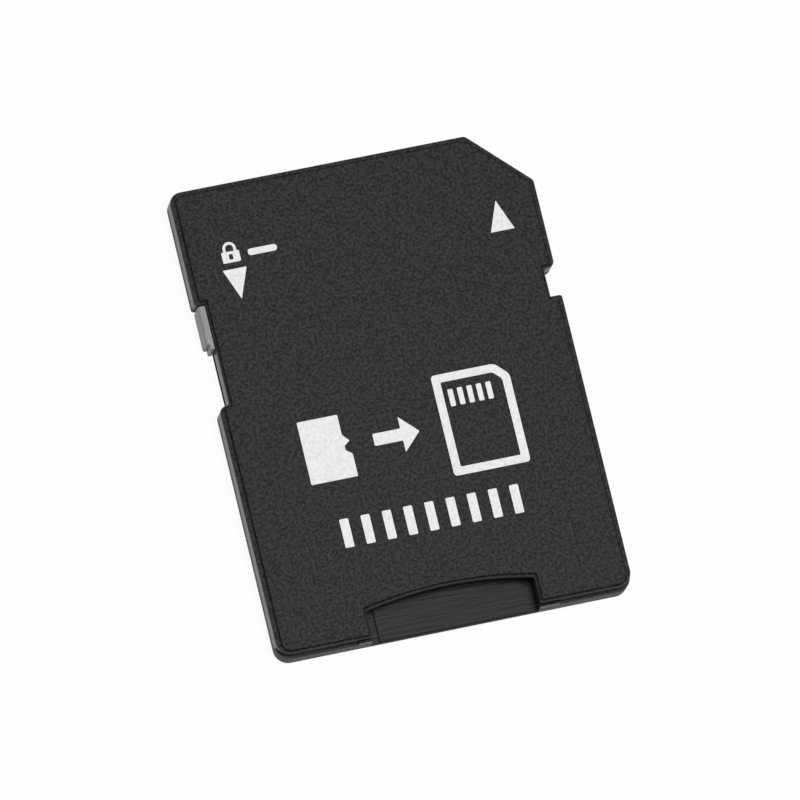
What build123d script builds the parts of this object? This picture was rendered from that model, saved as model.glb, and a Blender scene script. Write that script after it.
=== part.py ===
from build123d import *
import os
from math import sqrt

# A passive adapter that carries a small memory card in a full-size card case.
# Millimetres. The origin is the middle of the footprint on the underside. +Y points to
# the contact end, +X to the side with the cut corner, +Z to the label side.

# Case
WIDTH = 24.0
LENGTH = 32.0
THICKNESS = 2.1
CORNER_CUT = 3.8
REAR_RADIUS = 1.0
FRONT_RADIUS = 0.8
CUT_RADIUS = 0.5
WALL = 0.9
FLOOR = 0.45
ROOF = 0.5
FIT = 0.05

# Parting line between the two shells, and the higher lip across the rear edge, above which
# the upper shell is set back
PARTING = 0.7
SEAM_BEVEL = 0.07
LIP_HEIGHT = 1.28
REAR_SET_BACK = 0.2

# Label side: a field raised above a narrow rim
RIM_WIDTH = 0.39
RIM_DROP = 0.13
OPENING_RIM = 0.2
EDGE_ROUND = 0.12
UNDER_BEVEL = 0.1

# Lock notch in the left side and plain notch in the right, measured from the contact end
LOCK_NOTCH_START = 7.72
LOCK_NOTCH_LENGTH = 6.98
LOCK_NOTCH_DEPTH = 0.7
SIDE_NOTCH_START = 9.84
SIDE_NOTCH_LENGTH = 1.93
SIDE_NOTCH_DEPTH = 0.77
NOTCH_WALL = 0.45
LOCK_SHOULDER = 0.5
SIDE_SHOULDER = 0.45
SMALL_SHOULDER = 0.2

# Lock slider: a plate with a shorter grip pad outside the notch wall, a tongue under the
# wall and a guide behind it
SLIDER_LENGTH = 3.0
SLIDER_RECESS = 0.15
SLIDER_END_GAP = 0.08
SLIDER_TOP_GAP = 0.17
SLIDER_UNDER_GAP = 0.08
TONGUE_THICKNESS = 0.34
GUIDE_THICKNESS = 0.48
GUIDE_HEIGHT = 1.25
HEAD_ROUND = 0.2
HEAD_END_ROUND = 0.12
PLATE_THICKNESS = 0.25
PAD_END_GAP = 0.35
LOCK_FLOOR = 0.25
GUIDE_RIB_THICKNESS = 0.4
GUIDE_RIB_HEIGHT = 1.3
GUIDE_RIB_OVERRUN = 0.5

# Card slot, open at the rear
SLOT_WIDTH = 11.35
SLOT_DEPTH = 15.0
CARD_BODY = 0.7
CARD_PLAY = 0.07
NOSE_LEFT = 5.35
NOSE_RIGHT = 4.65
NOSE_LENGTH = 5.0
LEFT_RAIL = 0.9
RIGHT_RAIL = 1.3
MOUTH_SIDE = 2.0
MOUTH_RISE = 0.62
MOUTH_CORNER = 0.15
PLATFORM_LEFT = 5.0
PLATFORM_RIGHT = 4.95
PLATFORM_RISE = 0.1
CHANNEL_FLOOR = 0.3
FLOOR_LEAD_IN = 0.15
ROOF_RIB_WIDTH = 0.5
ROOF_RIB_X = 3.0
ROOF_RIB_START = 3.2
ROOF_RIB_END_GAP = 0.5

# Socket pads: the first from the cut-corner side, the last three from the other side
FIRST_PAD = 3.13
SEVENTH_PAD = 5.87
EIGHTH_PAD = 3.55
NINTH_PAD = 1.75
PAD_RIB = 0.7
EIGHTH_WINDOW = 1.5
NINTH_WINDOW = 1.0
PAD_SETBACK = 0.95
CORNER_PAD_GAP = 0.1
WINDOW_LENGTH = 4.4
PAD_OVERLAP = 0.1
PAD_TAIL = 0.4
STRAP_WIDTH = 0.45
STRAP_GAP = 0.3

# Strips, card springs and the carrier that holds them
STRIP_THICKNESS = 0.15
STRIP_WIDTH = 0.5
SPRING_WIDTH = 0.45
SPRING_TIP_WIDTH = 0.32
SPRING_PITCH = 1.1
SPRING_ROW_X = -0.35
SPRING_REACH = 2.25
SPRING_TIP_LENGTH = 1.2
SPRING_PRELOAD = 0.12
SPRING_BEND = 0.2
POCKET_LENGTH = 4.0
POCKET_FLOOR = 0.25
STRIP_CLEARANCE = 0.08
DECK_HEIGHT = 0.95
FAN_FRONT_GAP = 0.6
FAN_REAR_GAP = 1.2
CARRIER_LENGTH = 2.55
CARRIER_MARGIN = 0.55
CARRIER_HEIGHT = 1.25
HOLD_DOWN_INSET = 0.3

# Leaf spring that holds the card, placed from the front end of the slot as the card's
# own notch is
LEAF_THICKNESS = 0.15
LEAF_HEIGHT = 0.6
LEAF_SETBACK = 12.3
LEAF_ANCHOR_LENGTH = 1.3
LEAF_ANCHOR_OFFSET = 0.68
LEAF_REACH = 4.0
LEAF_CREST = 0.28
LEAF_CREST_AT = 2.6
LEAF_BEND = 0.4
LEAF_SLOT_GAP = 0.03
LEAF_POCKET_DEPTH = 0.85

# Locating pins between the shells
PIN_RADIUS = 0.5
PIN_SHOULDER_RADIUS = 1.0
PIN_SHOULDER_HEIGHT = 0.9
PIN_LENGTH = 0.5
PIN_REAR = 3.5
PIN_SPACING = 11.0
RIDGE_THICKNESS = 0.35
RIDGE_HEIGHT = 0.3

# Positions that follow from the sizes above
LEFT, RIGHT = -WIDTH / 2, WIDTH / 2
REAR, FRONT = -LENGTH / 2, LENGTH / 2
RIM_TOP = THICKNESS - RIM_DROP
ROOF_UNDER = THICKNESS - ROOF
PLATFORM_TOP = FLOOR + PLATFORM_RISE
SLOT_END = REAR + SLOT_DEPTH
SLOT_SIDE = SLOT_WIDTH / 2
LOCK_TOP_Y = FRONT - LOCK_NOTCH_START
LOCK_LOW_Y = LOCK_TOP_Y - LOCK_NOTCH_LENGTH
NOTCH_FLOOR_X = LEFT + LOCK_NOTCH_DEPTH
NOTCH_INSIDE_X = NOTCH_FLOOR_X + NOTCH_WALL
GUIDE_X = NOTCH_INSIDE_X + FIT
GUIDE_RIB_X = GUIDE_X + GUIDE_THICKNESS + FIT
SIDE_TOP_Y = FRONT - SIDE_NOTCH_START
SIDE_LOW_Y = SIDE_TOP_Y - SIDE_NOTCH_LENGTH
CARRIER_REAR_Y = SLOT_END + FIT
CARRIER_FRONT_Y = CARRIER_REAR_Y + CARRIER_LENGTH
CARRIER_TOP = POCKET_FLOOR + CARRIER_HEIGHT
SPRING_CREST_Y = CARRIER_REAR_Y - SPRING_REACH
PAD_REAR_Y = FRONT - WINDOW_LENGTH - PAD_TAIL
STRIP_MIDDLE = PARTING + STRIP_THICKNESS / 2
DIAGONAL = sqrt(2)

# Pads in order from the cut-corner side. The first seven are evenly spaced, and the ground
# contact has two of them, joined by a strap in front of the two between.
EVEN_PADS = ["contact_data_2", "contact_data_3", "contact_command", "ground_strap",
             "contact_supply", "contact_clock", "contact_ground"]
PAD_PITCH = (WIDTH - FIRST_PAD - SEVENTH_PAD) / (len(EVEN_PADS) - 1)
PAD_WINDOW = PAD_PITCH - PAD_RIB
PAD_X = {name: RIGHT - FIRST_PAD - count * PAD_PITCH for count, name in enumerate(EVEN_PADS)}
PAD_X.update(contact_data_0=LEFT + EIGHTH_PAD, contact_data_1=LEFT + NINTH_PAD)
WINDOW_WIDTH = dict.fromkeys(PAD_X, PAD_WINDOW)
WINDOW_WIDTH.update(contact_data_0=EIGHTH_WINDOW, contact_data_1=NINTH_WINDOW)

# The corner pad starts where its side meets the sloping wall, and two pads start behind
# the ground strap
CORNER_LINE = RIGHT + FRONT - CORNER_CUT - (WALL + CORNER_PAD_GAP) * DIAGONAL
CORNER_PAD_SIDE = PAD_X["contact_data_2"] + PAD_WINDOW / 2 + PAD_OVERLAP
CORNER_PAD_SETBACK = FRONT - CORNER_LINE + CORNER_PAD_SIDE
LONG_SETBACK = PAD_SETBACK + STRAP_WIDTH + STRAP_GAP
SETBACK = dict.fromkeys(PAD_X, PAD_SETBACK)
SETBACK.update(contact_data_2=CORNER_PAD_SETBACK, contact_supply=LONG_SETBACK,
               contact_clock=LONG_SETBACK)
CONTACTS = [name for name in PAD_X if name != "ground_strap"]
MIDDLE_PLACE = (len(CONTACTS) - 1) / 2


def prism(plan, bottom, top):
    """A solid that stands on a plan between two heights."""
    return extrude(Pos(0, 0, bottom) * plan, amount=top - bottom)


def patch(x0, x1, y0, y1):
    """A rectangle in plan between two corners."""
    return Pos((x0 + x1) / 2, (y0 + y1) / 2) * Rectangle(x1 - x0, y1 - y0)


def round_corner(plan, x, y, radius):
    """Round the corner of a plan that lies nearest to a point."""
    return fillet(plan.vertices().sort_by_distance((x, y, 0))[0], radius)


def case_plan(inset=0.0, set_back=0.0):
    """Plan of the case without its notches, drawn inset all round and set back at the rear."""
    half_w, half_l = WIDTH / 2 - inset, LENGTH / 2 - inset
    rear = set_back - half_l
    cut = CORNER_CUT - inset * (2 - DIAGONAL)
    corners = [(-half_w, rear), (half_w, rear), (half_w, half_l - cut),
               (half_w - cut, half_l), (-half_w, half_l)]
    radii = [REAR_RADIUS, REAR_RADIUS, CUT_RADIUS, CUT_RADIUS, FRONT_RADIUS]
    inner = [max(radius - inset, EDGE_ROUND) for radius in radii]
    return make_face(FilletPolyline(*corners, radius=inner, close=True))


def lock_notch(margin=0.0):
    """Plan of the notch that the lock slider runs in."""
    return patch(LEFT - WALL, NOTCH_FLOOR_X + margin, LOCK_LOW_Y - margin, LOCK_TOP_Y + margin)


def side_notch(margin=0.0):
    """Plan of the plain notch in the right side."""
    edge = RIGHT - SIDE_NOTCH_DEPTH - margin
    return patch(edge, RIGHT + WALL, SIDE_LOW_Y - margin, SIDE_TOP_Y + margin)


def notched_plan(set_back=0.0):
    """Plan of one shell with both notches and their rounded shoulders."""
    plan = case_plan(set_back=set_back) - lock_notch() - side_notch()
    plan = round_corner(plan, LEFT, LOCK_LOW_Y, LOCK_SHOULDER)
    plan = round_corner(plan, LEFT, LOCK_TOP_Y, SMALL_SHOULDER)
    plan = round_corner(plan, RIGHT, SIDE_TOP_Y, SIDE_SHOULDER)
    return round_corner(plan, RIGHT, SIDE_LOW_Y, SMALL_SHOULDER)


def inner_plan(gap=0.0):
    """Plan of the room inside the walls, kept clear of them by a gap."""
    margin = NOTCH_WALL + gap
    return case_plan(WALL + gap) - lock_notch(margin) - side_notch(margin)


def mouth_plan(margin=0.0):
    """Plan of the finger cut-out: straight sides and an arched front edge."""
    side = SLOT_SIDE + margin
    corner_y = REAR + MOUTH_SIDE + margin
    arch = ThreePointArc((-side, corner_y), (0, corner_y + MOUTH_RISE), (side, corner_y))
    rest = Polyline((side, corner_y), (side, REAR - WALL), (-side, REAR - WALL),
                    (-side, corner_y))
    return make_face([arch, *rest.edges()])


def top_plan():
    """Plan of the upper shell, with the corners of its finger cut-out rounded."""
    plan = notched_plan(REAR_SET_BACK) - mouth_plan()
    for side in (-SLOT_SIDE, SLOT_SIDE):
        plan = round_corner(plan, side, REAR, MOUTH_CORNER)
        plan = round_corner(plan, side, REAR + MOUTH_SIDE, MOUTH_CORNER)
    return plan


def rail_plan():
    """Plan of the two rails beside the card slot, stepped in round the card's nose."""
    step_y = SLOT_END - NOSE_LENGTH
    left_out, right_out = -SLOT_SIDE - LEFT_RAIL, SLOT_SIDE + RIGHT_RAIL
    left_step, right_step = SLOT_SIDE - NOSE_LEFT, SLOT_SIDE - NOSE_RIGHT
    left = Polyline((left_out, REAR), (-SLOT_SIDE, REAR), (-SLOT_SIDE, step_y - left_step),
                    (-NOSE_LEFT, step_y), (-NOSE_LEFT, SLOT_END), (left_out, SLOT_END),
                    close=True)
    right = Polyline((right_out, REAR), (SLOT_SIDE, REAR), (SLOT_SIDE, step_y - right_step),
                     (NOSE_RIGHT, step_y), (NOSE_RIGHT, SLOT_END), (right_out, SLOT_END),
                     close=True)
    return case_plan() & (make_face(left) + make_face(right))


def rear_lip_plan():
    """Plan of the rear wall, which belongs to the lower shell up to the lip's height."""
    band = patch(LEFT, RIGHT, REAR, REAR + WALL)
    return (case_plan() & band) - mouth_plan()


def lock_room():
    """Plan of the room that the slider and its guide rib need inside the case."""
    return patch(LEFT, GUIDE_RIB_X + GUIDE_RIB_THICKNESS, LOCK_LOW_Y - GUIDE_RIB_OVERRUN,
                 LOCK_TOP_Y + GUIDE_RIB_OVERRUN)


def spring_x(name):
    """X of a contact's card spring, from its place in the row."""
    return SPRING_ROW_X + (MIDDLE_PLACE - CONTACTS.index(name)) * SPRING_PITCH


def pad_plan(name):
    """Plan of one socket pad, which overlaps its window at both sides."""
    half = WINDOW_WIDTH[name] / 2 + PAD_OVERLAP
    return patch(PAD_X[name] - half, PAD_X[name] + half, pad_rear(name), FRONT - SETBACK[name])


def pad_rear(name):
    """Y of a pad's rear end: the corner pad keeps its length and sits further back."""
    return PAD_REAR_Y - max(SETBACK[name] - LONG_SETBACK, 0)


def strip_plan(name):
    """Plan of one flat strip: its pad, its fanned run and its straight end."""
    start = (PAD_X[name], pad_rear(name) + STRIP_WIDTH)
    bend = (PAD_X[name], pad_rear(name) - FAN_FRONT_GAP)
    straight = (spring_x(name), CARRIER_FRONT_Y + FAN_REAR_GAP)
    end = (spring_x(name), CARRIER_REAR_Y + CARRIER_LENGTH / 2)
    plan = pad_plan(name) + trace(Polyline(start, bend, straight, end), STRIP_WIDTH)
    if name == "contact_ground":
        plan += ground_strap_plan()
    return plan


def ground_strap_plan():
    """Plan of the second ground pad and the strap in front of the pads between."""
    front = FRONT - PAD_SETBACK
    left = PAD_X["contact_ground"] - PAD_WINDOW / 2
    right = PAD_X["ground_strap"] + PAD_WINDOW / 2
    return patch(left, right, front - STRAP_WIDTH, front) + pad_plan("ground_strap")


def card_spring(name):
    """The sprung end of a strip: a step down, a low run, a crest and a tip."""
    low = POCKET_FLOOR + FIT + STRIP_THICKNESS / 2
    crest = PLATFORM_TOP + SPRING_PRELOAD - STRIP_THICKNESS / 2
    middle = CARRIER_REAR_Y + CARRIER_LENGTH / 2
    step = STRIP_MIDDLE - low
    path = FilletPolyline(
        (middle, STRIP_MIDDLE), (middle - step, STRIP_MIDDLE), (middle - 2 * step, low),
        (CARRIER_REAR_Y - step, low), (SPRING_CREST_Y, crest),
        (SPRING_CREST_Y - SPRING_TIP_LENGTH, low), radius=SPRING_BEND)
    profile = Plane.YZ * trace(path, STRIP_THICKNESS)
    band = extrude(profile, amount=SPRING_WIDTH / 2, both=True)
    return Pos(spring_x(name), 0, 0) * band & spring_taper(name)


def spring_taper(name):
    """Envelope that narrows a spring from the carrier to its tip."""
    x, wide, narrow = spring_x(name), SPRING_WIDTH / 2, SPRING_TIP_WIDTH / 2
    tip = SPRING_CREST_Y - SPRING_TIP_LENGTH - STRIP_THICKNESS
    outline = Polyline((x - wide, CARRIER_FRONT_Y), (x - wide, CARRIER_REAR_Y),
                       (x - narrow, tip), (x + narrow, tip), (x + wide, CARRIER_REAR_Y),
                       (x + wide, CARRIER_FRONT_Y), close=True)
    return prism(make_face(outline), 0, THICKNESS)


def contact(name):
    """One stamped contact, from its socket pad to its card spring."""
    return prism(strip_plan(name), PARTING, PARTING + STRIP_THICKNESS) + card_spring(name)


def carrier_plan(margin=0.0):
    """Plan of the insulating bar across the front end of the card slot."""
    x0 = spring_x(CONTACTS[-1]) - CARRIER_MARGIN - margin
    x1 = spring_x(CONTACTS[0]) + CARRIER_MARGIN + margin
    return patch(x0, x1, CARRIER_REAR_Y - margin, CARRIER_FRONT_Y + margin)


def spring_pocket_plan():
    """Plan of the pocket in the slot floor that the card springs dip into."""
    x0 = spring_x(CONTACTS[-1]) - CARRIER_MARGIN
    x1 = spring_x(CONTACTS[0]) + CARRIER_MARGIN
    return patch(x0, x1, SLOT_END - POCKET_LENGTH, SLOT_END)


def contact_carrier(contacts):
    """Insulating bar, moulded round the strips."""
    bar = prism(carrier_plan(), POCKET_FLOOR, CARRIER_TOP)
    bar = chamfer(bar.edges().filter_by(Axis.Z), EDGE_ROUND)
    for strip in contacts:
        bar -= strip
    return bar


def leaf_path():
    """Plan line of the leaf spring, from its anchored end to its free end."""
    anchor_x = SLOT_SIDE + LEAF_ANCHOR_OFFSET
    anchor_y = SLOT_END - LEAF_SETBACK
    bend_y = anchor_y + LEAF_ANCHOR_LENGTH
    return FilletPolyline(
        (anchor_x, anchor_y), (anchor_x, bend_y),
        (SLOT_SIDE - LEAF_CREST + LEAF_THICKNESS / 2, bend_y + LEAF_CREST_AT),
        (anchor_x, bend_y + LEAF_REACH), radius=LEAF_BEND)


def card_retainer():
    """Leaf spring whose crest clicks into the notch in the card's side."""
    return prism(trace(leaf_path(), LEAF_THICKNESS), PLATFORM_TOP, PLATFORM_TOP + LEAF_HEIGHT)


def retainer_pocket_plan():
    """Plan of the pocket for the leaf spring and the slit that anchors it."""
    slit_x = SLOT_SIDE + LEAF_ANCHOR_OFFSET
    slit_half = LEAF_THICKNESS / 2 + LEAF_SLOT_GAP
    slit_y = SLOT_END - LEAF_SETBACK
    pocket_y = slit_y + LEAF_ANCHOR_LENGTH - LEAF_BEND / 2
    slit = patch(slit_x - slit_half, slit_x + slit_half, slit_y - LEAF_SLOT_GAP, pocket_y)
    end_y = slit_y + LEAF_ANCHOR_LENGTH + LEAF_REACH + LEAF_THICKNESS
    return slit + patch(SLOT_SIDE, SLOT_SIDE + LEAF_POCKET_DEPTH, pocket_y, end_y)


def pin_places():
    """Middles of the four locating pins, midway between the rails and the side walls."""
    left = (LEFT + WALL - SLOT_SIDE - LEFT_RAIL) / 2
    right = (RIGHT - WALL + SLOT_SIDE + RIGHT_RAIL) / 2
    y0 = REAR + PIN_REAR
    return [Pos(x, y) for x in (left, right) for y in (y0, y0 + PIN_SPACING)]


def window_cuts():
    """Windows under the nine pads, open at the contact end."""
    cuts = []
    for name, x in PAD_X.items():
        half = WINDOW_WIDTH[name] / 2
        window = patch(x - half, x + half, pad_rear(name) + PAD_TAIL, FRONT + WALL)
        cuts.append(prism(window, -WALL, PARTING))
    return cuts


def strip_channels():
    """Channels that the flat strips lie in, cut from the top of the deck."""
    plans = [offset(strip_plan(name), STRIP_CLEARANCE, kind=Kind.INTERSECTION)
             for name in CONTACTS]
    return [prism(plan, PARTING, THICKNESS) for plan in plans]


def weld_ridge():
    """Ridge inside the upper wall that lines the shells up before they are welded."""
    band = inner_plan(FIT) - inner_plan(FIT + RIDGE_THICKNESS)
    band -= patch(LEFT, RIGHT, REAR, REAR + WALL + FIT + RIDGE_THICKNESS)
    return prism(band - lock_room(), FLOOR, PARTING + RIDGE_HEIGHT)


def bottom_shell():
    """Socket-side shell: windows, strip deck, slot floor, rails and slider channel."""
    shell = prism(notched_plan(), 0, PARTING)
    shell = chamfer(shell.faces().sort_by(Axis.Z)[0].edges(), UNDER_BEVEL)
    shell = chamfer(shell.faces().sort_by(Axis.Z)[-1].edges(), SEAM_BEVEL)
    shell += prism(rear_lip_plan(), PARTING - SEAM_BEVEL, LIP_HEIGHT)
    shell -= prism(inner_plan(), FLOOR, THICKNESS)
    shell -= prism(patch(-SLOT_SIDE, SLOT_SIDE, REAR - WALL, SLOT_END), CHANNEL_FLOOR, THICKNESS)
    shell += weld_ridge()

    deck = inner_plan(FIT) & patch(LEFT, RIGHT, CARRIER_FRONT_Y + FIT, FRONT)
    shell += prism(deck - lock_room(), FLOOR, DECK_HEIGHT)
    shell += prism(rail_plan(), CHANNEL_FLOOR, LIP_HEIGHT)
    platform = patch(-PLATFORM_LEFT, PLATFORM_RIGHT, REAR, SLOT_END)
    shell += prism(platform, CHANNEL_FLOOR, PLATFORM_TOP)

    rib = patch(GUIDE_RIB_X, GUIDE_RIB_X + GUIDE_RIB_THICKNESS,
                LOCK_LOW_Y - GUIDE_RIB_OVERRUN, LOCK_TOP_Y + GUIDE_RIB_OVERRUN)
    shell += prism(rib, FLOOR, GUIDE_RIB_HEIGHT)
    shell -= prism(patch(LEFT, GUIDE_RIB_X, LOCK_LOW_Y, LOCK_TOP_Y), LOCK_FLOOR, THICKNESS)

    for place in pin_places():
        shell += place * prism(Circle(PIN_SHOULDER_RADIUS), FLOOR, PIN_SHOULDER_HEIGHT)
        shell += place * prism(Circle(PIN_RADIUS), FLOOR, PIN_SHOULDER_HEIGHT + PIN_LENGTH)

    shell -= prism(spring_pocket_plan(), POCKET_FLOOR, THICKNESS)
    shell -= prism(carrier_plan(FIT), POCKET_FLOOR, THICKNESS)
    shell -= prism(retainer_pocket_plan(), PLATFORM_TOP, THICKNESS)
    for cut in window_cuts() + strip_channels():
        shell -= cut
    return shell - lead_in()


def lead_in():
    """Wedge that bevels the rear edge of the slot floor."""
    corner_z = PLATFORM_TOP - FLOOR_LEAD_IN
    wedge = Polyline((REAR - WALL, corner_z - WALL), (REAR + WALL, corner_z + WALL),
                     (REAR - WALL, corner_z + WALL), close=True)
    return extrude(Plane.YZ * make_face(wedge), amount=SLOT_SIDE, both=True)


def top_shell():
    """Label-side shell: raised field, finger cut-out, rails, roof ribs and sockets."""
    shell = prism(top_plan(), PARTING, RIM_TOP)
    shell = fillet(shell.faces().sort_by(Axis.Z)[-1].edges(), EDGE_ROUND)
    field = case_plan(RIM_WIDTH) - lock_notch(OPENING_RIM)
    field = field - side_notch(OPENING_RIM) - mouth_plan(OPENING_RIM)
    shell += prism(field, RIM_TOP, THICKNESS)
    shell -= prism(inner_plan(), PARTING, ROOF_UNDER)
    shell -= prism(rear_lip_plan(), PARTING, LIP_HEIGHT)

    shell += prism(rail_plan() - mouth_plan(), LIP_HEIGHT, ROOF_UNDER)
    shell += roof_ribs()
    hold_down = carrier_plan(-HOLD_DOWN_INSET)
    shell += prism(hold_down, CARRIER_TOP, ROOF_UNDER)
    for place in pin_places():
        shell += place * prism(Circle(PIN_SHOULDER_RADIUS), PIN_SHOULDER_HEIGHT, ROOF_UNDER)
        socket_top = PIN_SHOULDER_HEIGHT + PIN_LENGTH + FIT
        shell -= place * prism(Circle(PIN_RADIUS + FIT), PIN_SHOULDER_HEIGHT, socket_top)
    return shell


def roof_ribs():
    """Two ribs under the roof that keep the card down on its platform."""
    bottom = PLATFORM_TOP + CARD_BODY + CARD_PLAY
    start, end = REAR + ROOF_RIB_START, SLOT_END - ROOF_RIB_END_GAP
    half = ROOF_RIB_WIDTH / 2
    ribs = [patch(x - half, x + half, start, end) for x in (-ROOF_RIB_X, ROOF_RIB_X)]
    return prism(ribs[0] + ribs[1], bottom, ROOF_UNDER)


def lock_slider():
    """Slider whose section wraps under the notch wall, in its place at the contact end."""
    outside = LEFT + SLIDER_RECESS
    head_inside = NOTCH_FLOOR_X - FIT
    guide_end = GUIDE_X + GUIDE_THICKNESS
    tongue_under = LOCK_FLOOR + FIT
    tongue_top = tongue_under + TONGUE_THICKNESS
    head_top = THICKNESS - SLIDER_TOP_GAP
    section = Polyline(
        (outside, SLIDER_UNDER_GAP), (head_inside, SLIDER_UNDER_GAP),
        (head_inside, tongue_under), (guide_end, tongue_under), (guide_end, GUIDE_HEIGHT),
        (GUIDE_X, GUIDE_HEIGHT), (GUIDE_X, tongue_top), (head_inside, tongue_top),
        (head_inside, head_top), (outside, head_top), close=True)
    top_y = LOCK_TOP_Y - SLIDER_END_GAP
    body = extrude(Plane.XZ * make_face(section), amount=SLIDER_LENGTH)
    body = Pos(0, top_y, 0) * body
    outer = body.faces().sort_by(Axis.X)[0].edges()
    body = fillet(outer.filter_by(Axis.Y).sort_by(Axis.Z)[-1], HEAD_ROUND)
    low_y = top_y - SLIDER_LENGTH
    pad_end = patch(LEFT, head_inside - PLATE_THICKNESS, low_y - PAD_END_GAP, low_y + PAD_END_GAP)
    body -= prism(pad_end, 0, THICKNESS)
    outer = body.faces().sort_by(Axis.X)[0].edges()
    return fillet(outer.filter_by(Axis.Z), HEAD_END_ROUND)


def build():
    """Every node of the adapter by name."""
    contacts = {name: contact(name) for name in CONTACTS}
    nodes = {"top_shell": top_shell(), "bottom_shell": bottom_shell(),
             "lock_slider": lock_slider(), "card_retainer": card_retainer(),
             "contact_carrier": contact_carrier(contacts.values())}
    nodes.update(contacts)
    return nodes


os.makedirs("parts", exist_ok=True)
for name, solid in build().items():
    export_step(solid, f"parts/{name}.step")
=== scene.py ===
import math
import bmesh
import bpy
from bpy.props import FloatProperty, FloatVectorProperty, IntProperty, PointerProperty
from mathutils import Matrix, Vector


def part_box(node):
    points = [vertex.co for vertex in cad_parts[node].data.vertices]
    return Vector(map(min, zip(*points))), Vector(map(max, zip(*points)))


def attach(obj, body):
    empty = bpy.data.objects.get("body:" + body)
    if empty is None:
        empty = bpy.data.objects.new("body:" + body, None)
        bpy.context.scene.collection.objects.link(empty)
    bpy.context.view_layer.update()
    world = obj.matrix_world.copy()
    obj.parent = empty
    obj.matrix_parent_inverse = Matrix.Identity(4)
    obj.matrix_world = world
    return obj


bl_info = {
    "name": "Memory card adapter",
    "version": (1, 0, 0),
    "blender": (4, 5, 0),
    "location": "3D View > Sidebar > Adapter",
    "description": "Finishes the adapter's moulded case, slider, contacts and label print",
    "category": "Object",
}

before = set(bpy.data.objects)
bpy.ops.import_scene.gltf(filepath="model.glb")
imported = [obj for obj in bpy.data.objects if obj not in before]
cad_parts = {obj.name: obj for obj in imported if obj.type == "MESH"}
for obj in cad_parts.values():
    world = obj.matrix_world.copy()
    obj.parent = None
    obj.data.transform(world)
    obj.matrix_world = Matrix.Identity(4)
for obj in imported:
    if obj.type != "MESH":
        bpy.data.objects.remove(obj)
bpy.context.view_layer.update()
GOLD_NODES = [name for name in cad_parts
              if name.startswith("contact_") and name != "contact_carrier"]

# A millimetre in metres, the label face, and how far the print is sunk into it
MM = 0.001
LABEL_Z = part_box("top_shell")[1].z
INK_SINK = 0.004 * MM

# A surface's rise is 0 on a wall and 1 on a level face. Of each pair, the first is where a
# mask is 0 and the second is where it is 1
FACE_RISE = (0.6, 0.9)
OFF_WALL_RISE = (0.1, 0.35)
OFF_FACE_RISE = (0.98, 0.8)

# Open share of a point's surroundings where the painted shade at step feet and in corners is
# full (mask 0) and where it is none (mask 1)
PAINTED_SHADE_OPEN = (0.5, 0.95)

# Black plastic: its shades as shares of its colour, with the dark one first where there
# are two, the painted highlight on its rounded edges, the painted shade at the foot of its
# steps and in its corners with the roughness there, and its weak mirror
GRAIN_SHADES = (0.05, 2.0)
FLOW_SHADES = (0.5, 1.6)
FLECK_SHADE = 2.6
PAINTED_EDGE_HIGHLIGHT = 3.2
PAINTED_CREVICE_SHADE = 0.1
CREVICE_ROUGHNESS = 1.0
BLACK_SPECULAR = 0.11

# Values of the grain's noise that get its dark and its light shade
GRAIN_RAMP = (0.37, 0.63)

# The lower shell's grain as a share of the upper shell's, and the height of its flow lines
LOWER_GRAIN_SIZE = 0.7
LOWER_GRAIN_DEPTH = 0.3
FLOW_DEPTH = 0.025 * MM

# Stamped metal: its shades, its mottle, its wipe marks, and how far its gloss varies as a
# share of its roughness
METAL_SHADES = (0.88, 1.08)
METAL_MOTTLE = 0.3 * MM
WIPE_LENGTH = 2.0 * MM
WIPE_DEPTH = 0.003 * MM
GLOSS_CHANGE = 0.25

# Print: facets in each rounded corner, how round the arrows' and the large card's corners
# are as shares of the print's, and how near a vertex is to a line to count as on it
CORNER_FACETS = 5
ARROW_CORNER = 0.5
LARGE_CARD_CORNER = 3
ON_LINE = 0.001 * MM

# The two triangles: name, middle of the base, and 1 where it points to the contact end
ARROWS = (
    ("lock_arrow", (-8.86 * MM, 10.17 * MM), -1),
    ("insert_arrow", (9.14 * MM, 9.19 * MM), 1),
)

# Padlock: middle of its lower edge. Its body and the shackle's stroke are shares of its
# height, and the shackle's and the keyhole's half widths are shares of its half width
PADLOCK_FOOT = (-8.9 * MM, 10.62 * MM)
PADLOCK_BODY = 0.54
SHACKLE_STROKE = 0.13
SHACKLE_REACH = 0.74
SHACKLE_STEPS = 20
KEYHOLE_REACH = 0.22
KEYHOLE_ASPECT = 1.4

# Plain bar beside the padlock: left, right, lower and upper edge
LOCK_BAR = (-7.75 * MM, -5.78 * MM, 10.85 * MM, 11.3 * MM)
LOCK_BAR_CORNER = 0.2 * MM

# Card sign: its lower edge, each card's width over its height, and the large card's cut
# corner as a share of its height
SIGN_LOW = -6.4 * MM
CARD_ASPECT = 24 / 32
CARD_CUT = 1 / 8
SMALL_CARD_ASPECT = 11 / 15

# Contacts in the sign's large card: their inset in strokes, their height as a share of the
# card's, and their width as a share of their pitch
SIGN_CONTACTS = 5
CONTACT_INSET = 1.6
CONTACT_HEIGHT = 0.17
CONTACT_WIDTH = 0.55

# Small card: the step in its side as a share of its width, and the notch and the places of
# notch and slope as shares of its height
SMALL_CARD_STEP = 0.13
SMALL_CARD_NOTCH = 0.07
SMALL_CARD_NOTCH_AT = 0.36
SMALL_CARD_SLOPE_AT = 0.58

# Arrow in the sign, in strokes
SHAFT_STROKES = 1.5
HEAD_STROKES = 2.2

# Lower edge of the row of bars
BAR_ROW_LOW = -9.67 * MM

# Half the side of the floor in metres, and the camera's sensor in its own millimetres
FLOOR_HALF = 1.5
SENSOR_WIDTH = 36.0


# Values that a user would change


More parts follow.
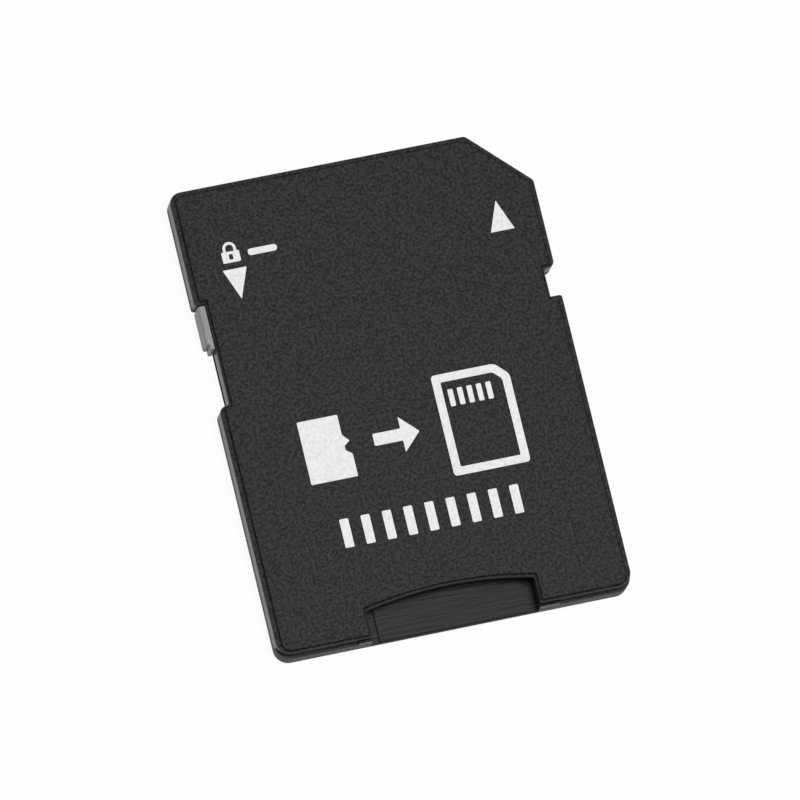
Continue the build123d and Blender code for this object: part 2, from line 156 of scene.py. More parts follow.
class CaseFinish(bpy.types.PropertyGroup):
    """Finish of the two moulded shells."""

    upper_colour: FloatVectorProperty(
        name="Upper colour", description="Plastic of the label-side shell",
        default=(0.0132, 0.0132, 0.0152), subtype="COLOR", min=0, max=1)
    lower_colour: FloatVectorProperty(
        name="Lower colour", description="Plastic of the socket-side shell",
        default=(0.008, 0.008, 0.0083), subtype="COLOR", min=0, max=1)
    grain_size: FloatProperty(
        name="Grain size", description="Width of one dimple of the eroded mould finish",
        default=0.135 * MM, unit="LENGTH")
    grain_depth: FloatProperty(
        name="Grain depth", description="Height of the eroded mould finish",
        default=0.012 * MM, unit="LENGTH")
    upper_roughness: FloatProperty(
        name="Upper roughness", description="Roughness of the eroded finish",
        default=0.55, subtype="FACTOR", min=0, max=1)
    wall_roughness: FloatProperty(
        name="Wall roughness", description="Roughness of the upper shell's plain walls",
        default=0.28, subtype="FACTOR", min=0, max=1)
    lower_roughness: FloatProperty(
        name="Lower roughness", description="Roughness of the smoother lower shell",
        default=0.45, subtype="FACTOR", min=0, max=1)
    # The next two values scale a painted highlight: each shell's rounded edges are painted
    # lighter
    upper_wear: FloatProperty(
        name="Upper wear", description="Wear of the upper shell's rounded edges",
        default=0.9, subtype="FACTOR", min=0, max=1)
    lower_wear: FloatProperty(
        name="Lower wear", description="Wear of the lower shell's rounded edges",
        default=0.5, subtype="FACTOR", min=0, max=1)


class SliderFinish(bpy.types.PropertyGroup):
    """Finish of the lock slider."""

    colour: FloatVectorProperty(
        name="Colour", description="Plastic of the lock slider",
        default=(0.25, 0.25, 0.253), subtype="COLOR", min=0, max=1)
    roughness: FloatProperty(
        name="Roughness", description="Roughness of the slider's plain mould finish",
        default=0.45, subtype="FACTOR", min=0, max=1)


class MetalFinish(bpy.types.PropertyGroup):
    """Finish of the contacts, the leaf spring and the bar that holds the contacts."""

    gold_colour: FloatVectorProperty(
        name="Gold", description="Plating of the contacts",
        default=(0.9, 0.66, 0.3), subtype="COLOR", min=0, max=1)
    gold_roughness: FloatProperty(
        name="Gold roughness", description="Mean roughness of the plating",
        default=0.24, subtype="FACTOR", min=0, max=1)
    steel_colour: FloatVectorProperty(
        name="Steel", description="Leaf spring",
        default=(0.56, 0.56, 0.54), subtype="COLOR", min=0, max=1)
    steel_roughness: FloatProperty(
        name="Steel roughness", description="Mean roughness of the leaf spring",
        default=0.3, subtype="FACTOR", min=0, max=1)
    bar_colour: FloatVectorProperty(
        name="Bar", description="Insulating bar round the contacts",
        default=(0.05, 0.048, 0.045), subtype="COLOR", min=0, max=1)
    scratch_spacing: FloatProperty(
        name="Scratch spacing", description="Distance between wipe marks on the plating",
        default=0.06 * MM, unit="LENGTH")


class PrintSizes(bpy.types.PropertyGroup):
    """Sizes of the white print on the label face."""

    ink_colour: FloatVectorProperty(
        name="Ink", description="Colour of the pad-printed ink",
        default=(0.73, 0.73, 0.75), subtype="COLOR", min=0, max=1)
    ink_height: FloatProperty(
        name="Ink height", description="Height of the ink above the label face",
        default=0.01 * MM, unit="LENGTH")
    corner: FloatProperty(
        name="Corner", description="Radius of the print's corners",
        default=0.08 * MM, unit="LENGTH")
    arrow_width: FloatProperty(
        name="Arrow width", description="Base of the two triangles",
        default=1.62 * MM, unit="LENGTH")
    arrow_height: FloatProperty(
        name="Arrow height", description="Height of the two triangles",
        default=2.08 * MM, unit="LENGTH")
    padlock_width: FloatProperty(
        name="Padlock width", description="Width of the padlock's body",
        default=1.2 * MM, unit="LENGTH")
    padlock_height: FloatProperty(
        name="Padlock height", description="Height of the padlock with its shackle",
        default=1.4 * MM, unit="LENGTH")
    stroke: FloatProperty(
        name="Stroke", description="Thickness of the lines of the card sign",
        default=0.55 * MM, unit="LENGTH")
    sign_width: FloatProperty(
        name="Sign width", description="Width of the card sign over all",
        default=14.55 * MM, unit="LENGTH")
    sign_height: FloatProperty(
        name="Sign height", description="Height of the full-size card in the sign",
        default=6.9 * MM, unit="LENGTH")
    small_height: FloatProperty(
        name="Small card height", description="Height of the small card in the sign",
        default=4.3 * MM, unit="LENGTH")
    bar_count: IntProperty(
        name="Bars", description="Bars in the row near the card slot", default=9, min=2)
    bar_row_width: FloatProperty(
        name="Bar row width", description="Width of the row of bars",
        default=12.1 * MM, unit="LENGTH")
    bar_height: FloatProperty(
        name="Bar height", description="Height of each bar",
        default=1.95 * MM, unit="LENGTH")


class StudioSettings(bpy.types.PropertyGroup):
    """Camera and light."""

    distance: FloatProperty(
        name="Camera distance", description="From the camera to the card",
        default=828.3 * MM, unit="LENGTH")
    azimuth: FloatProperty(
        name="Camera azimuth", description="Direction of the camera round the card",
        default=math.radians(-129.41), subtype="ANGLE")
    elevation: FloatProperty(
        name="Camera elevation", description="Angle of the camera above the floor",
        default=math.radians(73.42), subtype="ANGLE")
    roll: FloatProperty(
        name="Camera roll", description="Turn of the camera about its line of sight",
        default=math.radians(26.89), subtype="ANGLE")
    aim: FloatVectorProperty(
        name="Camera aim", description="Point that the camera looks at",
        default=(0.17 * MM, -0.18 * MM, 0), subtype="TRANSLATION")
    lens: FloatProperty(
        name="Lens", description="Focal length of the camera",
        default=568.3, unit="CAMERA")
    key_place: FloatVectorProperty(
        name="Key place", description="Middle of the main soft light, which faces the card",
        default=(0.05, -0.03, 0.5), subtype="TRANSLATION")
    key_power: FloatProperty(
        name="Key power", description="Power of the main soft light",
        default=2.4, unit="POWER")
    key_size: FloatProperty(
        name="Key size", description="Side of the main soft light",
        default=0.2, unit="LENGTH")
    fill_level: FloatProperty(
        name="Fill level", description="Brightness of the room",
        default=0.15, subtype="FACTOR", min=0, max=1)
    floor_level: FloatProperty(
        name="Floor level", description="Share of plain white in the floor as seen",
        default=0.93, subtype="FACTOR", min=0, max=1)


# Node helpers. A value that they take is an output socket, which is linked, or plain


def feed(tree, socket, value):
    """Give an input socket its value."""
    if isinstance(value, bpy.types.NodeSocket):
        tree.links.new(value, socket)
    else:
        socket.default_value = value


def add_node(tree, kind, **values):
    """A node with its properties set and its input sockets fed."""
    node = tree.nodes.new(kind)
    for key, value in values.items():
        if hasattr(node, key):
            setattr(node, key, value)
        else:
            feed(tree, node.inputs[key.replace("_", " ").title()], value)
    return node


def combine(tree, operation, first, second):
    """What a math operation makes of two values."""
    node = add_node(tree, "ShaderNodeMath", operation=operation)
    feed(tree, node.inputs[0], first)
    feed(tree, node.inputs[1], second)
    return node.outputs["Value"]


def remap(tree, value, source=(0.0, 1.0), target=(0.0, 1.0)):
    """A value moved from one range to another, and held within the second."""
    node = add_node(tree, "ShaderNodeMapRange", value=value,
                    from_min=source[0], from_max=source[1],
                    to_min=target[0], to_max=target[1])
    return node.outputs["Result"]


def shade(colour, share=1.0):
    """A plain colour with its alpha, made lighter or darker."""
    return *(min(channel * share, 1.0) for channel in colour), 1.0


def two_tone(tree, value, colour, shares, places=(0.3, 0.7)):
    """A colour that runs between two shades as a value rises from one place to the other."""
    ramp = add_node(tree, "ShaderNodeValToRGB", fac=value)
    for element, place, share in zip(ramp.color_ramp.elements, places, shares):
        element.position = place
        element.color = shade(colour, share)
    return ramp.outputs["Color"]


def blend_colour(tree, mask, under, over):
    """One colour over another by a mask."""
    mix = add_node(tree, "ShaderNodeMix", data_type="RGBA", factor=mask)
    first, second = [socket for socket in mix.inputs if socket.type == "RGBA"]
    feed(tree, first, under)
    feed(tree, second, over)
    return next(socket for socket in mix.outputs if socket.type == "RGBA")


def new_material(name):
    """A material with one Principled shader. Gives the material, its tree and the shader."""
    material = bpy.data.materials.new(name)
    material.use_nodes = True
    tree = material.node_tree
    return material, tree, tree.nodes["Principled BSDF"]


def set_shader(tree, shader, **values):
    """Feed the shader's own sockets."""
    for key, value in values.items():
        feed(tree, shader.inputs[key.replace("_", " ")], value)


def bumped(tree, height, depth, under=None):
    """The normal of a bumpy surface, on top of another such normal where one is given."""
    bump = add_node(tree, "ShaderNodeBump", distance=depth)
    feed(tree, bump.inputs["Height"], height)
    if under is not None:
        feed(tree, bump.inputs["Normal"], under)
    return bump.outputs["Normal"]


# Node groups. Each is built once, and placed in a material with that material's values


def new_group(name, inputs, outputs):
    """A shader node group with float sockets. Gives it and its inner ends."""
    group = bpy.data.node_groups.new(name, "ShaderNodeTree")
    for socket, default in inputs.items():
        item = group.interface.new_socket(
            name=socket, in_out="INPUT", socket_type="NodeSocketFloat")
        item.default_value = default
    for socket in outputs:
        group.interface.new_socket(name=socket, in_out="OUTPUT", socket_type="NodeSocketFloat")
    return group, group.nodes.new("NodeGroupInput"), group.nodes.new("NodeGroupOutput")


def place_group(tree, name, maker, **values):
    """Place a shared group, with its own values. Gives its outputs."""
    node = tree.nodes.new("ShaderNodeGroup")
    node.node_tree = bpy.data.node_groups.get(name) or maker(name)
    for key, value in values.items():
        feed(tree, node.inputs[key.title()], value)
    return node.outputs


def grain_group(name):
    """Eroded grain: Height for a bump, Speck for each dimple's colour, Tone for a slow
    mottle. Each is a noise of its own fineness, in cells to one Size."""
    group, given, made = new_group(name, {"Size": 0.15 * MM}, ["Height", "Speck", "Tone"])
    place = add_node(group, "ShaderNodeTexCoord")
    for output, fineness, detail, roughness in (
            ("Height", 1.0, 1.0, 0.5), ("Speck", 0.7, 2.0, 0.5), ("Tone", 0.12, 3.0, 0.7)):
        noise = add_node(group, "ShaderNodeTexNoise", vector=place.outputs["Object"],
                         scale=combine(group, "DIVIDE", fineness, given.outputs["Size"]),
                         detail=detail, roughness=roughness)
        feed(group, made.inputs[output], noise.outputs["Fac"])
    return group


def fleck_group(name):
    """Sparse small specks. Mask is 1 within Radius of the middle of a chosen cell."""
    group, given, made = new_group(
        name, {"Spacing": 1.4 * MM, "Share": 0.12, "Radius": 0.05}, ["Mask"])
    place = add_node(group, "ShaderNodeTexCoord")
    cells = add_node(group, "ShaderNodeTexVoronoi", vector=place.outputs["Object"],
                     scale=combine(group, "DIVIDE", 1.0, given.outputs["Spacing"]))
    draw = add_node(group, "ShaderNodeSeparateColor")
    feed(group, draw.inputs["Color"], cells.outputs["Color"])
    chosen = combine(group, "LESS_THAN", draw.outputs["Red"], given.outputs["Share"])
    near = combine(group, "LESS_THAN", cells.outputs["Distance"], given.outputs["Radius"])
    feed(group, made.inputs["Mask"], combine(group, "MULTIPLY", chosen, near))
    return group


def streak_group(name):
    """Fine wandering lines: Height for a bump. They run along X where Length is the greater
    value, and along Y where Spacing is."""
    group, given, made = new_group(name, {"Spacing": 0.2 * MM, "Length": 2.5 * MM}, ["Height"])
    place = add_node(group, "ShaderNodeTexCoord")
    split = add_node(group, "ShaderNodeSeparateXYZ", vector=place.outputs["Object"])
    along = combine(group, "DIVIDE", split.outputs["X"], given.outputs["Length"])
    across = combine(group, "DIVIDE", split.outputs["Y"], given.outputs["Spacing"])
    joined = add_node(group, "ShaderNodeCombineXYZ", x=along, y=across)
    lines = add_node(group, "ShaderNodeTexNoise", vector=joined.outputs["Vector"],
                     scale=1.0, detail=2.0, roughness=0.5)
    feed(group, made.inputs["Height"], lines.outputs["Fac"])
    return group


def turn_group(name):
    """How a surface is turned: Face is 1 where it looks up and 0 on the walls, and Edge is
    the mask of a painted highlight on the rounded edges between them."""
    group, given, made = new_group(name, {"Wear": 0.8}, ["Face", "Edge"])
    place = add_node(group, "ShaderNodeTexCoord")
    split = add_node(group, "ShaderNodeSeparateXYZ", vector=place.outputs["Normal"])
    upward = split.outputs["Z"]
    off_wall = remap(group, upward, source=OFF_WALL_RISE)
    off_face = remap(group, upward, source=OFF_FACE_RISE)
    edge = combine(group, "MULTIPLY", off_wall, off_face)
    feed(group, made.inputs["Face"], remap(group, upward, source=FACE_RISE))
    feed(group, made.inputs["Edge"], combine(group, "MULTIPLY", edge, given.outputs["Wear"]))
    return group


def painted_shade_group(name):
    """Mask for a painted shade: Open is 1 on free surfaces and falls to 0 at the foot of a step
    or in a corner.
    """
    group, given, made = new_group(name, {"Reach": 0.2 * MM}, ["Open"])
    near = add_node(group, "ShaderNodeAmbientOcclusion", samples=16, only_local=True,
                    distance=given.outputs["Reach"])
    feed(group, made.inputs["Open"], remap(group, near.outputs["AO"], source=PAINTED_SHADE_OPEN))
    return group


# Materials


def upper_shell_material(finish):
    """Black plastic with an eroded grain, for the label-side shell. Its rounded edges get a
    painted highlight, and the feet of its steps and its corners a painted shade.
    """
    material, tree, shader = new_material("upper_shell_black")
    colour = finish.upper_colour
    grain = place_group(tree, "Moulded grain", grain_group, size=finish.grain_size)
    flecks = place_group(tree, "Flecks", fleck_group)
    turned = place_group(tree, "Turned surface", turn_group, wear=finish.upper_wear)
    painted_shade = place_group(tree, "Painted shade", painted_shade_group)
    tone = two_tone(tree, grain["Speck"], colour, GRAIN_SHADES, GRAIN_RAMP)
    tone = blend_colour(tree, flecks["Mask"], tone, shade(colour, FLECK_SHADE))
    tone = blend_colour(tree, turned["Face"], shade(colour), tone)
    # Painted highlight: the rounded edges are painted lighter
    tone = blend_colour(tree, turned["Edge"], tone, shade(colour, PAINTED_EDGE_HIGHLIGHT))
    # Painted shade: the feet of steps and the corners are painted near black
    tone = blend_colour(tree, painted_shade["Open"], shade(colour, PAINTED_CREVICE_SHADE), tone)
    gloss = remap(tree, turned["Face"],
                  target=(finish.wall_roughness, finish.upper_roughness))
    # Where the shade is painted, the roughness also rises so that no gloss lights it
    dulled = remap(tree, painted_shade["Open"], target=(CREVICE_ROUGHNESS, gloss))
    eroded = combine(tree, "MULTIPLY", grain["Height"], turned["Face"])
    set_shader(tree, shader, Base_Color=tone, Roughness=dulled,
               Specular_IOR_Level=BLACK_SPECULAR,
               Normal=bumped(tree, eroded, finish.grain_depth))
    return material


def lower_shell_material(finish):
    """Smoother black plastic, with flow lines and a painted highlight on its rounded edges, for
    the socket-side shell.
    """
    material, tree, shader = new_material("lower_shell_black")
    colour = finish.lower_colour
    grain = place_group(tree, "Moulded grain", grain_group,
                        size=finish.grain_size * LOWER_GRAIN_SIZE)
    streaks = place_group(tree, "Streaks", streak_group)
    turned = place_group(tree, "Turned surface", turn_group, wear=finish.lower_wear)
    tone = two_tone(tree, streaks["Height"], colour, FLOW_SHADES)
    tone = blend_colour(tree, turned["Face"], shade(colour), tone)
    # Painted highlight: the rounded edges are painted lighter
    tone = blend_colour(tree, turned["Edge"], tone, shade(colour, PAINTED_EDGE_HIGHLIGHT))
    flow = combine(tree, "MULTIPLY", streaks["Height"], turned["Face"])
    lines = bumped(tree, flow, FLOW_DEPTH)
    depth = finish.grain_depth * LOWER_GRAIN_DEPTH
    set_shader(tree, shader, Base_Color=tone, Roughness=finish.lower_roughness,
               Specular_IOR_Level=BLACK_SPECULAR,
               Normal=bumped(tree, grain["Height"], depth, under=lines))
    return material


def metal_material(name, colour, roughness, finish):
    """Stamped metal with fine wipe marks and a slow change of gloss."""
    material, tree, shader = new_material(name)
    streaks = place_group(tree, "Streaks", streak_group, spacing=WIPE_LENGTH,
                          length=finish.scratch_spacing)
    grain = place_group(tree, "Moulded grain", grain_group, size=METAL_MOTTLE)
    tone = two_tone(tree, grain["Tone"], colour, METAL_SHADES)
    gloss = remap(tree, streaks["Height"], target=(roughness * (1 - GLOSS_CHANGE),
                                                   roughness * (1 + GLOSS_CHANGE)))
    set_shader(tree, shader, Base_Color=tone, Roughness=gloss, Metallic=1.0,
               Normal=bumped(tree, streaks["Height"], WIPE_DEPTH))
    return material


def mottled_material(name, colour, shades, mottle, size, depth, **values):
    """A mottled finish with a fine grain, for the small plastic pieces and the ink. Mottle
    names the grain's output that the colour follows."""
    material, tree, shader = new_material(name)
    grain = place_group(tree, "Moulded grain", grain_group, size=size)
    set_shader(tree, shader, Base_Color=two_tone(tree, grain[mottle], colour, shades),
               Normal=bumped(tree, grain["Height"], depth), **values)
    return material


def slider_material(finish):
    """Grey plastic of the lock slider, with a faint mottle."""
    return mottled_material(
        "slider_grey", finish.colour, shades=(0.93, 1.06), mottle="Tone", size=0.12 * MM,
        depth=0.004 * MM, Roughness=finish.roughness, Specular_IOR_Level=0.2)


def bar_material(finish):
    """Dark filled plastic of the insulating bar."""
    return mottled_material(
        "carrier_plastic", finish.bar_colour, shades=(0.8, 1.25), mottle="Tone",
        size=0.08 * MM, depth=0.005 * MM, Roughness=0.55)


def ink_material(sizes):
    """White pad-printed ink, a little thinner in places."""
    return mottled_material(
        "label_ink", sizes.ink_colour, shades=(0.88, 1.1), mottle="Speck", size=0.12 * MM,
        depth=0.004 * MM, Roughness=0.5, Specular_IOR_Level=0.3)


def cover(node, material):
    """Give a CAD node one material."""
    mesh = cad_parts[node].data
    mesh.materials.clear()
    mesh.materials.append(material)


# Print helpers


def outline(bm, points, corner):
    """A flat face through points, with its corners rounded. Gives its edges."""
    verts = [bm.verts.new((x, y, 0)) for x, y in points]
    bm.faces.new(verts)
    rounded = bmesh.ops.bevel(bm, geom=verts, offset=corner, segments=CORNER_FACETS,
                              profile=0.5, affect="VERTICES", material=-1)
    return {edge for vert in rounded["verts"] for edge in vert.link_edges}


def ring(bm, outer, inner, corner):
    """A flat band between two outlines with as many corners each. The inner corners are
    half as round."""
    edges = outline(bm, outer, corner) | outline(bm, inner, corner / 2)
    bmesh.ops.delete(bm, geom=list(bm.faces), context="FACES_ONLY")
    bmesh.ops.bridge_loops(bm, edges=list(edges))


def lay_print(name, bm, sizes):
    """Give a flat mesh the ink's height and lay it on the label face."""
    raised = bmesh.ops.extrude_face_region(bm, geom=list(bm.faces))
    top = [item for item in raised["geom"] if isinstance(item, bmesh.types.BMVert)]
    lift = sizes.ink_height + INK_SINK
    bmesh.ops.translate(bm, verts=top, vec=(0, 0, lift))
    bmesh.ops.translate(bm, verts=list(bm.verts), vec=(0, 0, LABEL_Z - INK_SINK))
    bmesh.ops.recalc_face_normals(bm, faces=list(bm.faces))
    mesh = bpy.data.meshes.new(name)
    bm.to_mesh(mesh)
    bm.free()
    piece = bpy.data.objects.new(name, mesh)
    bpy.context.scene.collection.objects.link(piece)
    mesh.materials.append(bpy.data.materials.get("label_ink") or ink_material(sizes))
    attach(piece, "case")


def print_shape(name, sizes, points, corner):
    """Print one filled shape with rounded corners."""
    bm = bmesh.new()
    outline(bm, points, corner)
    lay_print(name, bm, sizes)


def print_ring(name, sizes, outer, inner, corner):
    """Print one band between two outlines."""
    bm = bmesh.new()
    ring(bm, outer, inner, corner)
    lay_print(name, bm, sizes)


def rectangle(x0, x1, y0, y1):
    """Corners of a rectangle."""
    return [(x0, y0), (x1, y0), (x1, y1), (x0, y1)]


def cut_card(x0, y0, width, height, cut):
    """Corners of a card with its upper right corner cut."""
    x1, y1 = x0 + width, y0 + height
    return [(x0, y0), (x1, y0), (x1, y1 - cut), (x1 - cut, y1), (x0, y1)]


def small_card(x0, y0, width, height):
    """Corners of a small card, narrower in front of a slope and a notch in its side."""
    x1, y1 = x0 + width, y0 + height
    step, notch = width * SMALL_CARD_STEP, height * SMALL_CARD_NOTCH
    slope_y = y0 + height * SMALL_CARD_SLOPE_AT
    notch_y = y0 + height * SMALL_CARD_NOTCH_AT
    return [(x0, y0), (x1, y0), (x1, notch_y), (x1 - step, notch_y + notch),
            (x1 - step, notch_y + 2 * notch), (x1, notch_y + 3 * notch),
            (x1 - step, slope_y + step), (x1 - step, y1), (x0, y1)]


def right_arrow(x0, x1, y, shaft, head):
    """Corners of an arrow that points along X."""
    neck = x1 - head
    return [(x0, y - shaft / 2), (neck, y - shaft / 2), (neck, y - head), (x1, y),
            (neck, y + head), (neck, y + shaft / 2), (x0, y + shaft / 2)]


# Printed signs


def print_padlock_body(sizes):
    """The padlock's body, a plate with a keyhole."""
    x, low = PADLOCK_FOOT
    half = sizes.padlock_width / 2
    high = low + sizes.padlock_height * PADLOCK_BODY
    hole = half * KEYHOLE_REACH
    hole_y, hole_rise = (low + high) / 2, hole * KEYHOLE_ASPECT
    print_ring("padlock_body", sizes, rectangle(x - half, x + half, low, high),
               rectangle(x - hole, x + hole, hole_y - hole_rise, hole_y + hole_rise),
               sizes.corner)


def print_padlock_shackle(sizes):
    """The padlock's shackle, a half ring whose two ends are drawn down to the body."""
    x, low = PADLOCK_FOOT
    reach = sizes.padlock_width / 2 * SHACKLE_REACH
    stroke = sizes.padlock_height * SHACKLE_STROKE
    spring_y = low + sizes.padlock_height - reach
    bm = bmesh.new()
    foot = [bm.verts.new((x + side, spring_y, 0)) for side in (reach, reach - stroke)]
    edge = bm.edges.new(foot)
    bmesh.ops.spin(bm, geom=[edge, *foot], cent=(x, spring_y, 0), axis=(0, 0, 1),
                   angle=math.pi, steps=SHACKLE_STEPS, use_merge=False)
    legs = [edge for edge in bm.edges if edge.is_boundary
            and all(abs(vert.co.y - spring_y) < ON_LINE for vert in edge.verts)]
    pulled = bmesh.ops.extrude_edge_only(bm, edges=legs)["geom"]
    ends = [item for item in pulled if isinstance(item, bmesh.types.BMVert)]
    drop = low + sizes.padlock_height * PADLOCK_BODY - spring_y
    bmesh.ops.translate(bm, verts=ends, vec=(0, drop, 0))
    lay_print("padlock_shackle", bm, sizes)


def print_large_card(sizes, left, width):
    """The sign's full-size card: its outline and a row of contacts in it."""
    stroke, height = sizes.stroke, sizes.sign_height
    cut = height * CARD_CUT
    outer = cut_card(left, SIGN_LOW, width, height, cut)
    # The line is one stroke wide across the cut corner too
    inner_cut = cut - stroke * (2 - math.sqrt(2))
    inner = cut_card(left + stroke, SIGN_LOW + stroke, width - 2 * stroke,
                     height - 2 * stroke, inner_cut)
    print_ring("sign_large_card", sizes, outer, inner, sizes.corner * LARGE_CARD_CORNER)

    pitch = (width - 2 * stroke - cut) / SIGN_CONTACTS
    high = SIGN_LOW + height - 2 * stroke
    low = high - height * CONTACT_HEIGHT
    for index in range(SIGN_CONTACTS):
        x = left + CONTACT_INSET * stroke + index * pitch
        points = rectangle(x, x + pitch * CONTACT_WIDTH, low, high)
        print_shape(f"sign_contact_{index + 1}", sizes, points, sizes.corner)


# Stage


def background_ray(tree):
    """1 for rays from the camera, in a mirror or through glass."""
    path = add_node(tree, "ShaderNodeLightPath")
    seen = combine(tree, "MAXIMUM", path.outputs["Is Camera Ray"], path.outputs["Is Glossy Ray"])
    return combine(tree, "MAXIMUM", seen, path.outputs["Is Transmission Ray"])


def make_floor(settings):
    """White floor that keeps the object's shadow."""
    bm = bmesh.new()
    bmesh.ops.create_grid(bm, x_segments=1, y_segments=1, size=FLOOR_HALF)
    mesh = bpy.data.meshes.new("floor")
    bm.to_mesh(mesh)
    bm.free()
    floor = bpy.data.objects.new("floor", mesh)
    bpy.context.scene.collection.objects.link(floor)
    material, tree, shader = new_material("floor_white")
    set_shader(tree, shader, Base_Color=(0.8, 0.8, 0.8, 1), Roughness=0.9,
               Specular_IOR_Level=0.0)
    glow = add_node(tree, "ShaderNodeEmission")
    share = combine(tree, "MULTIPLY", background_ray(tree), settings.floor_level)
    mix = add_node(tree, "ShaderNodeMixShader", fac=share)
    under, over = [socket for socket in mix.inputs if socket.type == "SHADER"]
    feed(tree, under, shader.outputs["BSDF"])
    feed(tree, over, glow.outputs["Emission"])
    feed(tree, tree.nodes["Material Output"].inputs["Surface"], mix.outputs["Shader"])
    mesh.materials.append(material)


def make_world(scene, settings):
    """Plain room light, seen as white."""
    world = bpy.data.worlds.new("studio")
    world.use_nodes = True
    tree = world.node_tree
    level = remap(tree, background_ray(tree), target=(settings.fill_level, 1.0))
    set_shader(tree, tree.nodes["Background"], Color=(1, 1, 1, 1), Strength=level)
    scene.world = world


def make_light(scene, settings):
    """One soft light above the card, which faces it."""
    light = bpy.data.lights.new("key", "AREA")
    light.energy = settings.key_power
    light.size = settings.key_size
    key = bpy.data.objects.new("key", light)
    scene.collection.objects.link(key)
    turn = settings.key_place.to_track_quat("Z", "Y").to_matrix().to_4x4()
    key.matrix_world = Matrix.Translation(settings.key_place) @ turn


def make_camera(scene, settings):
    """Camera at the photograph's viewing angle."""
    camera = bpy.data.objects.new("camera", bpy.data.cameras.new("camera"))
    camera.data.lens = settings.lens
    camera.data.sensor_width = SENSOR_WIDTH
    turn = (Matrix.Rotation(settings.azimuth + math.pi / 2, 4, "Z")
            @ Matrix.Rotation(math.pi / 2 - settings.elevation, 4, "X")
            @ Matrix.Rotation(settings.roll, 4, "Z"))
    back = Matrix.Translation((0, 0, settings.distance))
    camera.matrix_world = Matrix.Translation(settings.aim) @ turn @ back
    scene.collection.objects.link(camera)
    scene.camera = camera


# Operators


class ADAPTER_OT_case(bpy.types.Operator):
    """Give both shells their moulded finish"""

    bl_idname = "adapter.case"
    bl_label = "Case finish"

    def execute(self, context):
        finish = context.scene.adapter_case
        cover("top_shell", upper_shell_material(finish))
        cover("bottom_shell", lower_shell_material(finish))
        return {"FINISHED"}


class ADAPTER_OT_slider(bpy.types.Operator):
    """Give the lock slider its grey plastic"""

    bl_idname = "adapter.slider"
    bl_label = "Slider finish"

    def execute(self, context):
        cover("lock_slider", slider_material(context.scene.adapter_slider))
        return {"FINISHED"}


class ADAPTER_OT_metal(bpy.types.Operator):
    """Finish the contacts, the leaf spring and the insulating bar"""

    bl_idname = "adapter.metal"
    bl_label = "Contact finish"

    def execute(self, context):
        finish = context.scene.adapter_metal
        gold = metal_material("contact_gold", finish.gold_colour, finish.gold_roughness, finish)
        for node in GOLD_NODES:
            cover(node, gold)
        cover("card_retainer", metal_material("spring_steel", finish.steel_colour,
                                              finish.steel_roughness, finish))
        cover("contact_carrier", bar_material(finish))
        return {"FINISHED"}


class ADAPTER_OT_arrows(bpy.types.Operator):
    """Print the lock arrow and the insertion arrow"""

    bl_idname = "adapter.arrows"
    bl_label = "Arrows"

    def execute(self, context):
        sizes = context.scene.adapter_print
        for name, (x, y), way in ARROWS:
            half, tip = way * sizes.arrow_width / 2, y + way * sizes.arrow_height
            points = [(x - half, y), (x + half, y), (x, tip)]
            print_shape(name, sizes, points, sizes.corner * ARROW_CORNER)
        return {"FINISHED"}


class ADAPTER_OT_padlock(bpy.types.Operator):
    """Print a padlock and a plain bar beside the lock slider"""

    bl_idname = "adapter.padlock"
    bl_label = "Padlock"

    def execute(self, context):
        sizes = context.scene.adapter_print
        print_padlock_body(sizes)
        print_padlock_shackle(sizes)
        print_shape("lock_label_bar", sizes, rectangle(*LOCK_BAR), LOCK_BAR_CORNER)
        return {"FINISHED"}


class ADAPTER_OT_card_sign(bpy.types.Operator):
    """Print a small card, an arrow and a full-size card"""

    bl_idname = "adapter.card_sign"
    bl_label = "Card sign"

    def execute(self, context):
        sizes = context.scene.adapter_print
        left, right = -sizes.sign_width / 2, sizes.sign_width / 2
        width = sizes.sign_height * CARD_ASPECT
        print_large_card(sizes, right - width, width)

        middle = SIGN_LOW + sizes.sign_height / 2
        small_width = sizes.small_height * SMALL_CARD_ASPECT
        points = small_card(left, middle - sizes.small_height / 2, small_width,
                            sizes.small_height)
        print_shape("sign_small_card", sizes, points, sizes.corner)

        # The arrow takes the middle half of the room between the cards
        gap = (sizes.sign_width - width - small_width) / 4
        points = right_arrow(left + small_width + gap, right - width - gap, middle,
                             SHAFT_STROKES * sizes.stroke, HEAD_STROKES * sizes.stroke)
        print_shape("sign_arrow", sizes, points, sizes.corner)
        return {"FINISHED"}


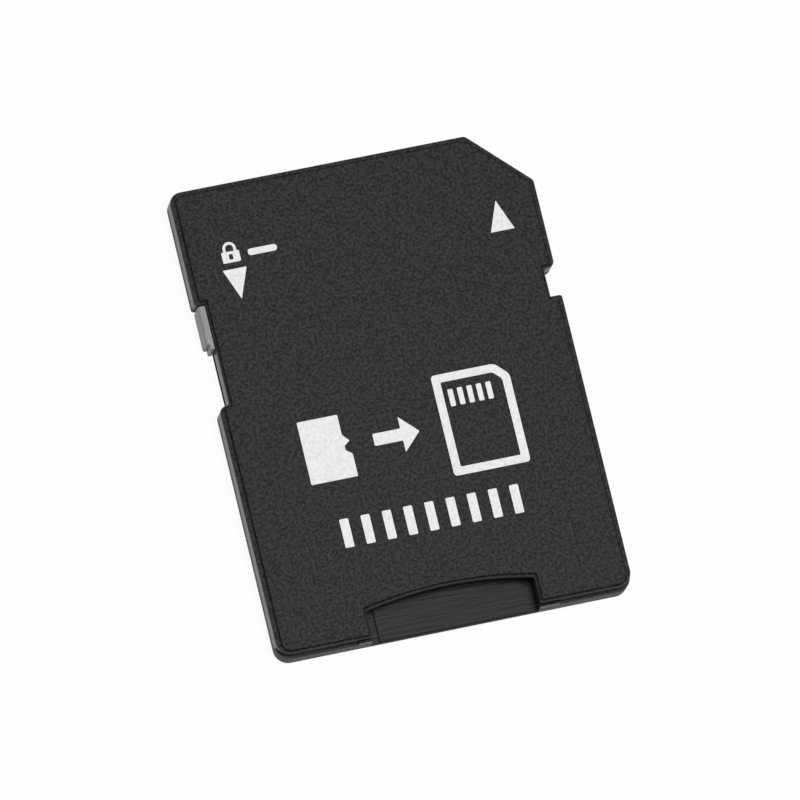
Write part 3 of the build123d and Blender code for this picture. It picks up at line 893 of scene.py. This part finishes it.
class ADAPTER_OT_bar_row(bpy.types.Operator):
    """Print the row of plain bars near the card slot"""

    bl_idname = "adapter.bar_row"
    bl_label = "Bar row"

    def execute(self, context):
        sizes = context.scene.adapter_print
        # The row is as wide as two bars for each one in it, and two more
        bar = sizes.bar_row_width / (2 * sizes.bar_count + 2)
        pitch = (sizes.bar_row_width - bar) / (sizes.bar_count - 1)
        for index in range(sizes.bar_count):
            x = -sizes.bar_row_width / 2 + index * pitch
            points = rectangle(x, x + bar, BAR_ROW_LOW, BAR_ROW_LOW + sizes.bar_height)
            print_shape(f"row_bar_{index + 1}", sizes, points, sizes.corner)
        return {"FINISHED"}


class ADAPTER_OT_stage(bpy.types.Operator):
    """Set the floor, the light and the camera"""

    bl_idname = "adapter.stage"
    bl_label = "Stage"

    def execute(self, context):
        scene, settings = context.scene, context.scene.adapter_studio
        scene.view_settings.view_transform = "Standard"
        make_floor(settings)
        make_world(scene, settings)
        make_light(scene, settings)
        make_camera(scene, settings)
        return {"FINISHED"}


class ADAPTER_PT_panel(bpy.types.Panel):
    """Lists the adapter's pieces and values"""

    bl_idname = "ADAPTER_PT_panel"
    bl_label = "Memory card adapter"
    bl_space_type = "VIEW_3D"
    bl_region_type = "UI"
    bl_category = "Adapter"

    def draw(self, context):
        for name, group in SETTINGS.items():
            box = self.layout.box()
            settings = getattr(context.scene, name)
            for key in group.__annotations__:
                box.prop(settings, key)
        for operator in OPERATORS:
            self.layout.operator(operator.bl_idname)


SETTINGS = {
    "adapter_case": CaseFinish,
    "adapter_slider": SliderFinish,
    "adapter_metal": MetalFinish,
    "adapter_print": PrintSizes,
    "adapter_studio": StudioSettings,
}
OPERATORS = [
    ADAPTER_OT_case,
    ADAPTER_OT_slider,
    ADAPTER_OT_metal,
    ADAPTER_OT_arrows,
    ADAPTER_OT_padlock,
    ADAPTER_OT_card_sign,
    ADAPTER_OT_bar_row,
    ADAPTER_OT_stage,
]


def register():
    """Register the values, the operators and the panel."""
    for name, group in SETTINGS.items():
        bpy.utils.register_class(group)
        setattr(bpy.types.Scene, name, PointerProperty(type=group))
    for item in (*OPERATORS, ADAPTER_PT_panel):
        bpy.utils.register_class(item)


def unregister():
    """Take the classes and values away again."""
    for item in reversed((*OPERATORS, ADAPTER_PT_panel)):
        bpy.utils.unregister_class(item)
    for name, group in reversed(SETTINGS.items()):
        delattr(bpy.types.Scene, name)
        bpy.utils.unregister_class(group)


def main():
    """Build every piece in order."""
    register()
    for operator in OPERATORS:
        group, name = operator.bl_idname.split(".")
        getattr(getattr(bpy.ops, group), name)()


if __name__ == "__main__":
    main()
